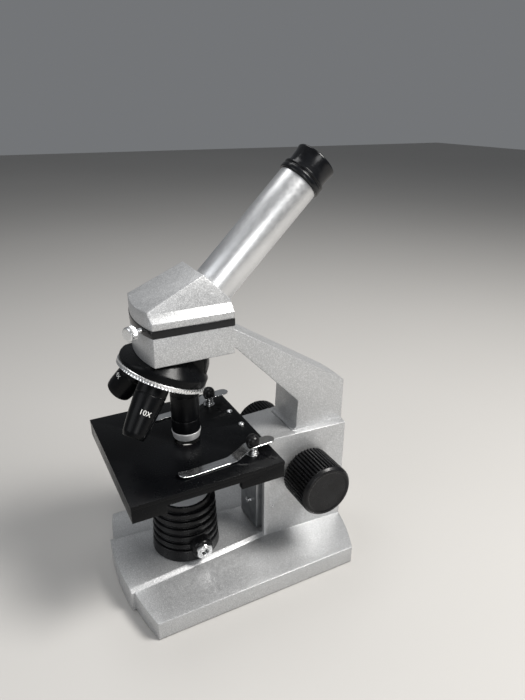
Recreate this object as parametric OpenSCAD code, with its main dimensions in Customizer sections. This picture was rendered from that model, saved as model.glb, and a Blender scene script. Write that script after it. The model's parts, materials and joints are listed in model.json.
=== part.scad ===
// Student compound microscope: inclined monocular tube, triple nosepiece,
// rack-and-pinion stage, cast stand with a lamp under the stage.
// Millimetres, +Z up, the object rests on its rubber feet at z = 0.
// The eyepiece leans back along +Y; the optical axis runs straight down.

/* [Stand] */
// Width of the base across the feet
base_w = 121.6; // [116:0.4:126]
// Height of the outer edge of the base wings
wing_edge_z = 14.6; // [14:0.1:15.2]
// Height of the base wings where they meet the plateau
wing_root_z = 16.2; // [15.6:0.1:16.8]
// Height of the plateau the lamp stands on
plateau_z = 18.4; // [18:0.1:18.8]
// Half width of the front of the pillar
pillar_hw = 20.2; // [19.8:0.1:20.8]
// Height of the ledge on top of the pillar
ledge_z = 103.2; // [102.8:0.1:104]
// Half thickness of the arm
arm_hw = 16.6; // [16:0.1:17]

/* [Stage] */
// Width of the stage, left to right
stage_w = 112.5; // [108:0.5:116]
// Height of the stage surface at the top of its travel
stage_z = 109.6; // [109:0.1:109.8]
// Thickness of the stage
stage_t = 12.2; // [11.6:0.1:12.4]
// Radius of the light hole in the stage
light_r = 9; // [7:0.5:10]
// Distance of each slide clip post from the centre plane
clip_x = 38.5; // [36:0.5:41]

/* [Focus] */
// Radius of the focus knobs
knob_r = 20; // [19:0.1:20.6]
// Number of ribs round a focus knob
knob_ribs = 46; // [36:1:50]
// Height of the focus shaft
shaft_z = 71.9; // [71.5:0.1:72.3]
// Radius of the focus shaft
shaft_r = 3; // [3:0.1:3.4]

/* [Nosepiece] */
// Lean of the nosepiece axis from the vertical
nose_tilt = 23.8; // [23.4:0.1:24.2]
// Height where the objective axes meet
apex_z = 198.3; // [198:0.1:198.6]
// Outer radius of the knurled ring
ring_r = 30.3; // [30:0.1:30.6]
// Number of knurls round the ring
ring_knurls = 72; // [60:1:84]
// Radius of the objective barrels
barrel_r = 10; // [9.8:0.1:10.3]

/* [Head and tube] */
// Half width of the head
head_hw = 25.5; // [25:0.1:26]
// Radius of the inclined tube
tube_r = 14; // [13.8:0.1:14.2]
// Height where the tube axis meets the optical axis
tube_z = 195.4; // [195:0.1:196]
// Radius of the eyepiece barrel (23.2 mm standard)
eyepiece_r = 11.6; // [11.6:0.05:11.7]

/* [Hidden] */
$fn = 64;
// the front-most and rear-most points of the base, optical axis at y = 0
front_y = -58.4;
rear_y = 122.1;
mid_y = (front_y + rear_y) / 2;
front_r = 215;
rear_r = 133.7;
plateau_hw = 25.2;
plateau_turn = 4.96;
pillar_flare = 0.0515;
casting_z0 = 0.8;
cover_z = [1.8, 3.6];
skirt = 3.6;
pillar_y = 51.9;
shaft_y = 84.3;
cavity_hw = 16.5;
cavity_y = [57.5, 113];
cavity_top = 97.8;
feet = [[-46, -30], [46, -30], [-46, 92], [46, 92]];
cover_posts = [[-50, -14], [50, -14], [-50, 72], [50, 72]];
stage_y = [-56, 48.2];
stage_bot = stage_z - stage_t;
clip_y = 33;
guide_y = [48.5, pillar_y + 1.6];
guide_z = [19.6, 94];
guide_hw = 13.4;
slot_hw = 5.2;
slot_z = 58;
carriage_bot = stage_bot - 30;
guide_holes = [[0, 38.5], [-9, 89], [9, 89]];
screw_xs = [-21, 0, 21];
screw_y = 42.8;
bush_r = 6.4;
knob_x = [26.6, 57];
knob_l = knob_x[1] - knob_x[0];
pin_r = 6;
teeth = 12;
lamp_top = 63.4;
fins = 5;
fin_pitch = 6.5;
lamp_c = [-2.6, -3.9];
lug_x = 28.6;
jack_y = -1.4;
jack_z = 31.4;
// finger room in both sides of the stage skirt
gap_y = [-34, 16.7];
gap_h = 5.5;
block_z = [180.3, 199.5];
band_z = 204.2;
spigot_r = 16.95;
seat_t = 42;
mount_t = -33.1;
neck_r = 17.8;
end_4x = 70;
end_10x = 79.8;
tip_40 = apex_z - stage_z - 0.8;
tube_d0 = -6;
tube_d1 = 87.6;
face_sum = 242.1;
face_y = (face_sum - tube_z) / 2;
screw_az = 24;
thumb_z = 201.85;

/* [Piece to build] */
// One piece by name, or all of them

// ---------- frames and shared shapes ----------

// moves everything so that the middle of the footprint is the origin
module placed() { translate([0, -mid_y, 0]) children(); }

// frame of the nosepiece: origin where the objective axes meet, -Z down its axis
module nose_frame() { translate([0, 0, apex_z]) rotate([-nose_tilt, 0, 0]) children(); }

// frame of objective number i (0 is the working one, straight down)
module objective_frame(i) {
    nose_frame() rotate([0, 0, 120 * i]) rotate([nose_tilt, 0, 0]) children();
}

// frame of the inclined tube: origin on the sloping rear face, +Z up the tube
module tube_frame() { translate([0, face_y, tube_z + face_y]) rotate([-45, 0, 0]) children(); }

module ring(r_out, r_in, z0, z1) {
    translate([0, 0, z0]) difference() {
        cylinder(r = r_out, h = z1 - z0);
        translate([0, 0, -1]) cylinder(r = r_in, h = z1 - z0 + 2);
    }
}

// footprint of the base, set in by d; grow pushes the front curve forward
module outline(d, grow) {
    intersection() {
        square([base_w - 2 * d, 400], center = true);
        translate([0, front_y + 2.5 - grow + front_r]) circle(r = front_r - d, $fn = 256);
        translate([0, rear_y - rear_r]) circle(r = rear_r - d, $fn = 256);
    }
}

// plan of the pillar, set in by d, flaring a little to the rear
module pillar_plan(d) intersection() {
    polygon([[d - pillar_hw, pillar_y + d], [pillar_hw - d, pillar_y + d],
        [pillar_hw + pillar_flare * 80 - d, pillar_y + 80],
        [d - pillar_hw - pillar_flare * 80, pillar_y + 80]]);
    translate([0, rear_y - rear_r]) circle(r = rear_r - d, $fn = 256);
}

// plan of the head, its front face slightly bowed
module head_plan(d) {
    intersection() {
        translate([-head_hw + d, -40]) square([2 * (head_hw - d), 66.8 - d]);
        translate([0, 50.9]) circle(r = 81.2 - d, $fn = 256);
    }
}

// ---------- stand ----------

// raised middle of the base, narrowing to the pillar, its long edges sloping down
module plateau() difference() {
    translate([0, 0, casting_z0]) linear_extrude(plateau_z - casting_z0) intersection() {
        outline(0, 2.5);
        polygon([for (p = [[-1, -80], [1, -80], [1, 56], [-1, 56]])
            [p[0] * (plateau_hw - p[1] * tan(plateau_turn)), p[1]]]);
    }
    for (s = [-1, 1]) translate([s * (plateau_hw - 3), 0, plateau_z])
        rotate([0, 0, s * plateau_turn]) rotate([0, s * 36.3, 0])
            translate([s > 0 ? 0 : -60, -120, 0]) cube([60, 240, 20]);
}

module base_casting() placed() color("silver") difference() {
    union() {
        intersection() {
            rotate([90, 0, 0]) linear_extrude(400, center = true)
                polygon([[-base_w / 2, casting_z0], [base_w / 2, casting_z0],
                    [base_w / 2, wing_edge_z], [25, wing_root_z], [-25, wing_root_z],
                    [-base_w / 2, wing_edge_z]]);
            linear_extrude(40) outline(0, 0);
        }
        plateau();
        translate([0, 0, casting_z0]) linear_extrude(ledge_z - casting_z0) pillar_plan(0);
    }
    // hollow underside, open below, with the cover posts left standing
    difference() {
        translate([0, 0, casting_z0 - 1]) linear_extrude(10.6 - casting_z0)
            outline(skirt, 0);
        for (p = cover_posts)
            translate([p[0], p[1], cover_z[1]]) cylinder(r = 4, h = 20);
    }
    // shallow bed of the guide plate in the pillar's front
    translate([-17.4, pillar_y - 1, plateau_z])
        cube([34.8, guide_y[1] - pillar_y + 1, cavity_top - plateau_z]);
    // cavity of the pillar and the slot the stage carriage runs in
    translate([-cavity_hw, cavity_y[0], 5]) cube([2 * cavity_hw, cavity_y[1] - cavity_y[0],
        cavity_top - 5]);
    translate([-slot_hw, pillar_y - 1, slot_z]) cube([2 * slot_hw, 10, cavity_top - slot_z]);
    translate([-60, shaft_y, shaft_z]) rotate([0, 90, 0]) cylinder(r = bush_r, h = 120);
    for (p = cover_posts) translate([p[0], p[1], 0]) cylinder(r = 1.5, h = 9);
    for (s = [-1, 1]) {
        translate([s * 9, 100, cavity_top - 1]) cylinder(r = 2.6, h = 10);
        translate([s * 15, 59, 43]) rotate([0, s * 90, 0]) cylinder(r = 1.6, h = 20);
        translate([lamp_c[0], lamp_c[1] + s * 15, 5]) cylinder(r = 1.6, h = 20);
    }
    for (p = guide_holes) translate([p[0], pillar_y - 1, p[1]]) rotate([-90, 0, 0])
        cylinder(r = 1.5, h = cavity_y[0] - pillar_y + 1);
}

module base_cover() placed() color("dimgray") difference() {
    translate([0, 0, cover_z[0]]) linear_extrude(cover_z[1] - cover_z[0])
        outline(skirt + 0.4, 0);
    for (p = cover_posts) translate([p[0], p[1], 0]) {
        cylinder(r = 1.5, h = 9);
        cylinder(r = 3.1, h = cover_z[0] + 0.8);
    }
}

module cover_screws() placed() color("silver") for (p = cover_posts)
    translate([p[0], p[1], 0]) difference() {
        union() {
            translate([0, 0, cover_z[0] + 0.1]) cylinder(r = 3, h = 0.7);
            translate([0, 0, cover_z[0] + 0.8]) cylinder(r = 1.5, h = 5.8);
        }
        for (a = [0, 90]) rotate([0, 0, a]) translate([-1.8, -0.35, 0]) cube([3.6, 0.7, 2.4]);
    }

module rubber_feet() placed() color("black") for (p = feet)
    translate([p[0], p[1], 0]) rotate_extrude()
        polygon([[0, 0], [6.4, 0], [7, 0.5], [7, cover_z[0]], [0, cover_z[0]]]);

module arm_casting() placed() color("silver") difference() {
    intersection() {
        rotate([90, 0, 90]) translate([0, 0, -arm_hw]) linear_extrude(2 * arm_hw)
            difference() {
                polygon([[26.8, 181.2], [31.5, 179.6], [81.3, 127.8], [80.4, 108.4],
                    [76.6, ledge_z], [130, ledge_z], [130, 135.4], [121.3, 136.2],
                    [26.8, 195.6]]);
                translate([76.2, 107.6]) circle(r = 4.4);
            }
        translate([0, 0, 90]) linear_extrude(120) union() {
            translate([0, rear_y - rear_r]) circle(r = rear_r, $fn = 256);
        }
    }
    for (s = [-1, 1]) translate([s * 9, 100, ledge_z - 1]) cylinder(r = 2, h = 15);
}

module arm_bolts() placed() color("gray") for (s = [-1, 1])
    translate([s * 9, 100, 0]) difference() {
        union() {
            translate([0, 0, cavity_top - 4]) cylinder(r = 4.2, h = 4);
            translate([0, 0, cavity_top]) cylinder(r = 2.6, h = ledge_z - cavity_top);
            translate([0, 0, ledge_z]) cylinder(r = 2, h = 13.5);
        }
        translate([0, 0, cavity_top - 5]) cylinder(r = 2.3, h = 3.2, $fn = 6);
    }

module guide_plate() placed() color("slategray") difference() {
    translate([-guide_hw, guide_y[0], guide_z[0]])
        cube([2 * guide_hw, guide_y[1] - guide_y[0], guide_z[1] - guide_z[0]]);
    translate([-slot_hw, guide_y[0] - 1, slot_z]) cube([2 * slot_hw, 12, 60]);
    for (p = guide_holes) translate([p[0], guide_y[0] - 1, p[1]]) rotate([-90, 0, 0]) {
        cylinder(r = 1.5, h = 12);
        if (p[1] > slot_z) cylinder(r = 2.6, h = 2.8);
    }
}

// one pan-head screw low down, two sunk ones behind the carriage
module guide_screws() placed() color("silver") for (p = guide_holes)
    translate([p[0], guide_y[0] + (p[1] > slot_z ? 1.8 : 0), p[1]]) rotate([-90, 0, 0])
        difference() {
            union() {
                translate([0, 0, -1.4]) cylinder(r = 2.3, h = 1.4);
                cylinder(r = 1.5, h = cavity_y[0] - guide_y[0] - (p[1] > slot_z ? 2 : 0.2));
            }
            translate([-1.8, -0.35, -2.4]) cube([3.6, 0.7, 1.8]);
        }

module shaft_bushes() placed() color("goldenrod") for (s = [-1, 1]) mirror([s < 0 ? 1 : 0, 0, 0])
    translate([cavity_hw, shaft_y, shaft_z]) rotate([0, 90, 0]) {
        ring(bush_r, shaft_r + 0.05, 0, 7);
        ring(bush_r + 1.8, shaft_r + 0.05, -1.6, 0);
    }

module pillar_set_screws() placed() color("black") for (s = [-1, 1])
    translate([s * 14.8, 59, 43]) rotate([0, s * 90, 0]) difference() {
        cylinder(r = 1.6, h = 5.6);
        translate([0, 0, 3.6]) cylinder(r = 0.9, h = 3, $fn = 6);
    }

// ---------- lamp ----------

module lamp_frame() placed() translate([lamp_c[0], lamp_c[1], 0]) children();

module lamp_housing() color([0.08, 0.08, 0.09]) difference() {
    union() {
        lamp_frame() translate([0, 0, plateau_z]) rotate_extrude() polygon([[0, 0], [24.9, 0],
            [25.3, 0.5], [24.7, 8.6], [24.2, 9.1], [22.4, 9.1],
            [21.2, lamp_top - plateau_z - 3.6], [20.4, lamp_top - plateau_z - 3.6],
            [20, lamp_top - plateau_z], [0, lamp_top - plateau_z]]);
        for (i = [0 : fins - 1]) lamp_frame() translate([0, 0, plateau_z + 11 + i * fin_pitch])
            rotate_extrude() polygon([[18, 0], [24 - 0.25 * i, 0], [24.4 - 0.25 * i, 0.4],
                [24.4 - 0.25 * i, 3.6], [24 - 0.25 * i, 4], [18, 4]]);
        // round boss on the side that carries the inlet
        placed() translate([14, jack_y, jack_z]) rotate([0, 90, 0]) rotate_extrude()
            polygon([[0, 0], [7.8, 0], [7.8, lug_x - 15.4], [7, lug_x - 14], [0, lug_x - 14]]);
    }
    lamp_frame() translate([0, 0, plateau_z + 3]) cylinder(r = 17, h = 60);
    lamp_frame() translate([0, 0, lamp_top - 2.4]) cylinder(r = 18.2, h = 4);
    placed() translate([10, jack_y, jack_z]) rotate([0, 90, 0]) cylinder(r = 4.2, h = 30);
    for (s = [-1, 1]) lamp_frame() translate([0, s * 15, 10]) cylinder(r = 1.3, h = 10.6);
}

module lamp_screws() color("silver") for (s = [-1, 1]) lamp_frame() translate([0, s * 15, 0])
    difference() {
        union() {
            translate([0, 0, 7.4]) cylinder(r = 2.8, h = 2.2);
            translate([0, 0, 9.6]) cylinder(r = 1.3, h = 10.8);
        }
        for (a = [0, 90]) rotate([0, 0, a]) translate([-1.8, -0.35, 7]) cube([3.6, 0.7, 1.4]);
    }

module lamp_window() color([0.9, 0.93, 0.95]) lamp_frame() rotate_extrude()
    polygon([[0, lamp_top - 2.4], [18.2, lamp_top - 2.4], [18.2, lamp_top - 0.4],
        [16, lamp_top - 0.1], [10, lamp_top], [0, lamp_top]]);

module led_board() color("darkgreen") lamp_frame() union() {
    translate([0, 0, plateau_z + 3]) cylinder(r = 13, h = 1.6);
    translate([-3, -3, plateau_z + 4.6]) cube([6, 6, 1.6]);
    translate([0, 0, plateau_z + 6.2]) cylinder(r = 2.4, h = 1);
    for (a = [45 : 90 : 315]) rotate([0, 0, a]) translate([8.6, -1.1, plateau_z + 4.6])
        cube([3.2, 2.2, 0.9]);
}

module power_jack() placed() color([0.6, 0.6, 0.6]) translate([0, jack_y, jack_z])
    rotate([0, 90, 0]) {
        ring(4.2, 2.6, 18, lug_x + 2.8);
        translate([0, 0, 16]) cylinder(r = 4.2, h = 2);
        translate([0, 0, 18]) cylinder(r = 1, h = lug_x - 17);
    }

module power_jack_nut() placed() color("silver") translate([0, jack_y, jack_z])
    rotate([0, 90, 0]) difference() {
        translate([0, 0, lug_x]) rotate_extrude() polygon([[3, 0], [6.1, 0], [6.1, 1.6],
            [5.5, 2.3], [3, 2.3]]);
        cylinder(r = 4.2, h = 40);
        for (a = [30 : 60 : 330]) rotate([0, 0, a]) translate([5.5, -3, lug_x - 1]) cube([3, 6, 5]);
    }

// ---------- head ----------

module head_block() placed() color("silver") difference() {
    translate([0, 0, block_z[0]]) linear_extrude(block_z[1] - block_z[0]) head_plan(0);
    translate([0, 0, 185]) cylinder(r = spigot_r + 0.05, h = 20);
    translate([0, 0, 170]) cylinder(r = 9, h = 30);
}

module head_band() placed() color([0.08, 0.08, 0.1]) difference() {
    translate([0, 0, block_z[1]]) linear_extrude(band_z - block_z[1]) head_plan(-0.3);
    translate([0, 0, 190]) cylinder(r = spigot_r + 0.05, h = 20);
    translate([0, 0, thumb_z]) rotate([0, 0, screw_az]) rotate([90, 0, 0])
        cylinder(r = 1.55, h = 50);
}

module head_shell() placed() color("silver") difference() {
    union() {
        intersection() {
            translate([0, 0, band_z + 0.1]) linear_extrude(60) head_plan(0);
            // sloping top, sloping rear face, the two leaning cheeks and their bevels
            translate([0, -26.2, 215.6]) rotate([24.8, 0, 0])
                translate([-60, -60, -120]) cube([120, 160, 120]);
            translate([0, face_y, face_sum - face_y]) rotate([-45, 0, 0])
                translate([-60, -90, -120]) cube([120, 160, 120]);
            rotate([90, 0, 0]) linear_extrude(200, center = true) polygon([
                [-head_hw, 200], [head_hw, 200], [head_hw, 208.6], [head_hw - 4.3, 213.4],
                [head_hw - 11.9, 260], [11.9 - head_hw, 260], [4.3 - head_hw, 213.4],
                [-head_hw, 208.6]]);
        }
        intersection() {
            tube_frame() translate([0, 0, -20]) cylinder(r = tube_r + 0.6, h = 19.9);
            translate([-30, 0, band_z + 0.1]) cube([60, 60, 60]);
        }
    }
    translate([0, 0, 180]) cylinder(r = spigot_r, h = band_z - 178);
    translate([0, 0, 180]) cylinder(r = 14.5, h = 31);
    tube_frame() translate([0, 0, tube_d0]) cylinder(r = tube_r, h = 40);
    // way for the light from the prism into the tube
    intersection() {
        tube_frame() translate([0, 0, -24]) cylinder(r = 12.4, h = 30);
        translate([-30, -30, band_z + 2.2]) cube([60, 60, 60]);
    }
}

// turned collar pressed into the shell, on which the head turns
module head_spigot() placed() color("gray") ring(spigot_r, 14.5, 186, band_z + 2);

module prism_cradle() placed() color([0.12, 0.12, 0.12]) {
    ring(14.5, 7.5, 186, 187.2);
    for (s = [-1, 1]) translate([s * 9.2 - 1.2, -8, 187.2]) cube([2.4, 16, 17]);
}

module prism() placed() color([0.8, 0.9, 0.95]) rotate([90, 0, 90])
    translate([0, 0, -8]) linear_extrude(16)
        polygon([[-8, 187.2], [8, 187.2], [8, 197.6], [2.2, 203.4], [-8, 199.2]]);

module tube() placed() color([0.8, 0.81, 0.82]) tube_frame() difference() {
    translate([0, 0, tube_d0]) cylinder(r = tube_r, h = tube_d1 - tube_d0);
    translate([0, 0, tube_d0 - 1]) cylinder(r = 12.4, h = 60);
    translate([0, 0, 40]) cylinder(r = eyepiece_r + 0.05, h = 60);
}

module thumbscrew_frame() placed() translate([0, 0, thumb_z]) rotate([0, 0, screw_az])
    rotate([90, 0, 0]) children();

module thumbscrew_pin() color("silver") thumbscrew_frame() translate([0, 0, 17.6])
    cylinder(r = 1.5, h = 24.4);

module thumbscrew_knob() color("silver") thumbscrew_frame() rotate_extrude()
    polygon([[1.5, 37.2], [2.4, 37.2], [2.4, 37.9], [4.3, 37.9], [4.6, 38.3], [4.6, 42.8],
        [4.2, 43.3], [0, 43.3], [0, 42], [1.5, 42]]);

module eyepiece_barrel() placed() color([0.07, 0.07, 0.08]) tube_frame() rotate_extrude()
    polygon([[10.2, 60], [eyepiece_r, 60], [eyepiece_r, tube_d1 + 0.1],
        [15.2, tube_d1 + 0.1], [15.5, tube_d1 + 0.5], [15.5, tube_d1 + 3.4],
        [14.6, tube_d1 + 3.8], [14.6, tube_d1 + 4.4], [15.4, tube_d1 + 4.8],
        [15.3, tube_d1 + 6.2], [10.2, tube_d1 + 6.2]]);

module eyecup() placed() color([0.05, 0.05, 0.06]) tube_frame() rotate_extrude()
    polygon([[10.2, tube_d1 + 6.2], [14, tube_d1 + 6.2], [13.8, tube_d1 + 9],
        [14, tube_d1 + 14], [14.7, tube_d1 + 18.6], [14.2, tube_d1 + 19.2],
        [12.6, tube_d1 + 18.8], [10.8, tube_d1 + 15.4], [10.2, tube_d1 + 15.2]]);

module eye_lens() placed() color([0.6, 0.7, 0.8]) tube_frame() translate([0, 0, tube_d1])
    rotate_extrude() polygon([[0, 9], [10.2, 9], [10.2, 11.4], [7.5, 12.2], [4, 12.9],
        [0, 13.2]]);

module field_lens() placed() color([0.7, 0.8, 0.85]) tube_frame()
    rotate_extrude() polygon([[0, 62], [10.2, 62], [10.2, 63.6], [6, 64.8], [0, 65.4]]);

// ---------- nosepiece ----------

module nosepiece_mount() placed() color([0.07, 0.07, 0.08]) difference() {
    union() {
        translate([0, 0, 172]) cylinder(r = neck_r, h = block_z[0] - 172);
        nose_frame() rotate_extrude() polygon([[0, -19.4], [18, -19.4], [20.4, -20.6],
            [28.8, -28.6], [29.9, -29.8], [29.9, -34.3], [29.2, -34.3], [29.2, mount_t],
            [0, mount_t]]);
        intersection() {
            translate([0, 0, 150]) cylinder(r = neck_r, h = 30);
            nose_frame() translate([0, 0, mount_t]) cylinder(r = 27.8, h = 60);
        }
    }
    translate([0, 0, 150]) cylinder(r = 8, h = 40);
    nose_frame() translate([0, 0, mount_t - 2]) cylinder(r = 2.4, h = 12);
    translate([-50, -50, block_z[0]]) cube([100, 100, 50]);
}

module nosepiece_pivot() placed() color("gray") nose_frame() translate([0, 0, mount_t])
    difference() {
        union() {
            translate([0, 0, -6.4]) cylinder(r = 4.6, h = 2.2);
            translate([0, 0, -4.2]) cylinder(r = 2.95, h = 4.2);
            cylinder(r = 2.4, h = 8);
        }
        translate([-4, -0.5, -7]) cube([8, 1, 1.6]);
    }

module detent_spring() placed() color("silver") nose_frame() rotate([0, 0, 180])
    translate([0, 0, mount_t]) difference() {
        translate([-2.5, 6, -0.45]) cube([5, 16, 0.4]);
        translate([0, 8.4, -1]) cylinder(r = 0.9, h = 3);
    }

module nosepiece_disc() placed() color([0.1, 0.1, 0.1]) difference() {
    union() {
        nose_frame() translate([0, 0, mount_t - 5]) cylinder(r = ring_r - 1.6, h = 4.2);
        for (i = [0 : 2]) intersection() {
            objective_frame(i) translate([0, 0, -seat_t]) cylinder(r = 11, h = 8);
            nose_frame() translate([0, 0, -60]) cylinder(r = 40, h = mount_t + 59.2);
        }
    }
    for (i = [0 : 2]) objective_frame(i) {
        translate([0, 0, -60]) cylinder(r = 8.6, h = 40);
        translate([0, 0, -seat_t - 20]) cylinder(r = 12, h = 20);
    }
    nose_frame() translate([0, 0, -60]) cylinder(r = 3, h = 60);
    nose_frame() translate([0, 0, -60]) cylinder(r = 5.2, h = 55.8 + mount_t);
    nose_frame() for (i = [0 : 2]) rotate([0, 0, 120 * i])
        translate([0, 19, mount_t - 1.4]) cylinder(r = 1.2, h = 3);
}

module nosepiece_ring() placed() color("silver") nose_frame() difference() {
    translate([0, 0, mount_t - 5.2]) cylinder(r = ring_r, h = 3.6);
    translate([0, 0, -60]) cylinder(r = ring_r - 1.6, h = 60);
    for (i = [0 : ring_knurls - 1]) rotate([0, 0, i * 360 / ring_knurls])
        translate([ring_r + 0.35, 0, mount_t - 4.6]) cylinder(r = 0.7, h = 2.4, $fn = 4);
}

// an objective body: thread, shoulder, barrel down to t_end, open through its middle
module objective_body(t_end, r_end, r_hole) difference() {
    rotate_extrude() polygon([[r_hole, -36.4], [8.6, -36.4], [8.6, -seat_t],
        [barrel_r, -seat_t], [barrel_r, -seat_t - 9.4], [barrel_r - 0.3, -seat_t - 9.7],
        [barrel_r - 0.3, -seat_t - 10.2], [barrel_r, -seat_t - 10.5],
        [barrel_r * 0.35 + r_end * 0.65, -t_end + 3], [r_end, -t_end],
        [r_hole, -t_end]]);
    nose_frame_cut();
}

// keeps the inner end of an objective below the fixed mount
module nose_frame_cut() rotate([-nose_tilt, 0, 0])
    translate([-40, -40, mount_t - 0.8]) cube([80, 80, 40]);

module objective_4x() placed() color([0.05, 0.05, 0.06]) objective_frame(1)
    objective_body(end_4x, 9.2, 5);
module objective_10x() placed() color([0.05, 0.05, 0.06]) objective_frame(2)
    objective_body(end_10x, 6.6, 3.6);
module objective_40x() placed() color([0.05, 0.05, 0.06]) objective_frame(0) difference() {
    rotate_extrude() polygon([[4, -36.4], [8.6, -36.4], [8.6, -seat_t],
        [barrel_r, -seat_t], [barrel_r, -tip_40 + 7.8], [4, -tip_40 + 7.8]]);
    nose_frame_cut();
    translate([0, 0, -tip_40]) cylinder(r = 7.65, h = 20);
}

// bright collar screwed on under the 40x barrel, its lip holds the sprung nose in
module objective_40x_collar() placed() color("silver") objective_frame(0) rotate_extrude()
    polygon([[7.65, -tip_40 + 7.8], [barrel_r + 0.2, -tip_40 + 7.8],
        [barrel_r + 0.2, -tip_40 + 6.6], [barrel_r - 0.8, -tip_40 + 2.1],
        [barrel_r - 1.2, -tip_40 + 1.8], [6.94, -tip_40 + 1.8], [6.94, -tip_40 + 3.4],
        [7.65, -tip_40 + 3.4]]);

module objective_40x_nose() placed() color("silver") objective_frame(0) rotate_extrude()
    polygon([[2.4, -tip_40 + 12], [7.6, -tip_40 + 12], [7.6, -tip_40 + 3.5],
        [6.9, -tip_40 + 3.5], [6.9, -tip_40 + 0.7], [6.1, -tip_40], [2.4, -tip_40]]);

module nose_spring() placed() color("silver") objective_frame(0)
    for (i = [0 : 5]) ring(7.2, 6.4, -tip_40 + 12.1 + i * 1.3, -tip_40 + 12.8 + i * 1.3);
module lens_4x() placed() color([0.5, 0.3, 0.6]) objective_frame(1)
    translate([0, 0, -end_4x + 1.4]) cylinder(r = 5, h = 2);
module lens_10x() placed() color([0.5, 0.3, 0.6]) objective_frame(2)
    translate([0, 0, -end_10x + 1]) cylinder(r = 3.6, h = 2);
module lens_40x() placed() color([0.7, 0.3, 0.4]) objective_frame(0)
    translate([0, 0, -tip_40 + 0.3]) cylinder(r = 2.4, h = 1.4);

// ---------- stage ----------

module stage_plate() placed() color([0.06, 0.06, 0.07]) difference() {
    translate([0, 0, stage_z - 2.6]) linear_extrude(2.6) stage_plan(0);
    translate([0, 0, stage_z - 10]) cylinder(r = light_r, h = 20);
    for (s = [-1, 1]) translate([s * clip_x, clip_y, stage_z - 10]) cylinder(r = 2, h = 20);
    for (x = screw_xs) translate([x, screw_y, stage_z - 10]) cylinder(r = 1.8, h = 20);
}

module stage_plan(d) {
    translate([-stage_w / 2 + d, stage_y[0] + d])
        square([stage_w - 2 * d, stage_y[1] - stage_y[0] - 2 * d]);
}

module stage_skirt() placed() color([0.07, 0.07, 0.07]) difference() {
    translate([0, 0, stage_bot]) linear_extrude(stage_t - 2.6) stage_plan(0.2);
    translate([0, 0, stage_bot - 1]) linear_extrude(stage_t - 4.4) difference() {
        stage_plan(4.4);
        translate([-26, 34]) square([52, 40]);
        circle(r = 15);
        for (s = [-1, 1]) translate([s * clip_x, clip_y]) circle(r = 5);
    }
    translate([0, 0, stage_z - 20]) cylinder(r = light_r + 2, h = 20);
    for (s = [-1, 1]) translate([s * clip_x, clip_y, stage_z - 20]) cylinder(r = 2, h = 20);
    for (x = screw_xs) translate([x, screw_y, stage_z - 20]) cylinder(r = 1.8, h = 20);
    for (s = [-1, 1]) translate([s > 0 ? 44 : -74, gap_y[0], stage_bot - 1])
        cube([30, gap_y[1] - gap_y[0], gap_h + 1]);
}

module stage_screws() placed() color("silver") for (x = screw_xs)
    translate([x, screw_y, stage_z]) difference() {
        union() {
            rotate_extrude() polygon([[0, 0], [2.3, 0], [2.1, 0.6], [1.4, 1.1], [0, 1.3]]);
            translate([0, 0, -stage_t]) cylinder(r = 1.8, h = stage_t);
            translate([0, 0, -stage_t - 5]) cylinder(r = 1.4, h = 5);
        }
        for (a = [0, 90]) rotate([0, 0, a]) translate([-1.2, -0.25, 0.7]) cube([2.4, 0.5, 2]);
    }

// bracket under the stage, straddling the guide plate, with a tongue through the slot
module stage_carriage() placed() color([0.08, 0.08, 0.09]) difference() {
    union() {
        translate([-25, 36, stage_bot - 6]) cube([50, 12.2, 6]);
        translate([-16.6, 36, carriage_bot]) cube([33.2, 12.4, stage_bot - carriage_bot]);
        for (s = [-1, 1]) translate([s > 0 ? 13.5 : -16.6, 48.3, carriage_bot])
            cube([3.1, 4.9, stage_bot - carriage_bot]);
        translate([-5, 48.3, stage_bot - 20]) cube([10, 24.6, 14]);
        translate([-12, 57.9, stage_bot - 20]) cube([24, 2.7, 14]);
    }
    for (x = screw_xs) translate([x, screw_y, stage_bot - 5]) cylinder(r = 1.4, h = 10);
}

module rack() placed() color("silver") difference() {
    translate([-4, 72.9, shaft_z - 18]) cube([8, 5.1 + 1.3, 40]);
    for (i = [-6 : 7]) translate([-5, 78.4, shaft_z + i * 3.1416]) rotate([90, 0, 90])
        linear_extrude(10) polygon([[-1.35, -0.62], [-1.35, 0.62], [1.2, 1.55],
            [1.2, -1.55]]);
}

module clip_posts() placed() color("silver") for (s = [-1, 1])
    translate([s * clip_x, clip_y, stage_bot + 1]) cylinder(r = 2, h = stage_t + 12);

// slide clip: a spring leaf whose tip rests on the stage
module clip_leaf() difference() {
    union() {
        translate([-4.4, -3, 7]) cube([8.8, 15, 0.8]);
        translate([0, 12, 7]) cylinder(r = 4.4, h = 0.8);
        rotate([90, 0, 90]) translate([0, 0, -4.4]) linear_extrude(8.8)
            polygon([[-2.9, 7.8], [-2.9, 7], [-14.6, 0.3], [-15.4, 0.3], [-15.4, 1.1],
                [-14.9, 1.1], [-3.4, 7.8]]);
        translate([-3.6, -48, 0.3]) cube([7.2, 33, 0.8]);
        rotate([90, 0, 90]) translate([0, 0, -3.6]) linear_extrude(7.2)
            polygon([[-48, 0.3], [-48, 1.1], [-54, 3], [-54.3, 2.2]]);
    }
    cylinder(r = 2.06, h = 20);
}

module clip_knob() rotate_extrude() polygon([[2.05, 7.9], [4.4, 7.9], [4.7, 8.4], [4.7, 10.8],
    [4.3, 12.6], [3, 14], [1.4, 14.6], [0, 14.7], [0, 13.2], [2.05, 13.2]]);

// coil spring with its washer on the stage
module clip_spring() {
    ring(4.3, 2.06, 0.1, 0.5);
    for (i = [0 : 3]) ring(3.4, 2.6, 0.7 + i * 1.65, 1.5 + i * 1.65);
}

module clip_at(s, lean) placed() translate([s * clip_x, clip_y, stage_z])
    rotate([0, 0, lean]) children();

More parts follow.
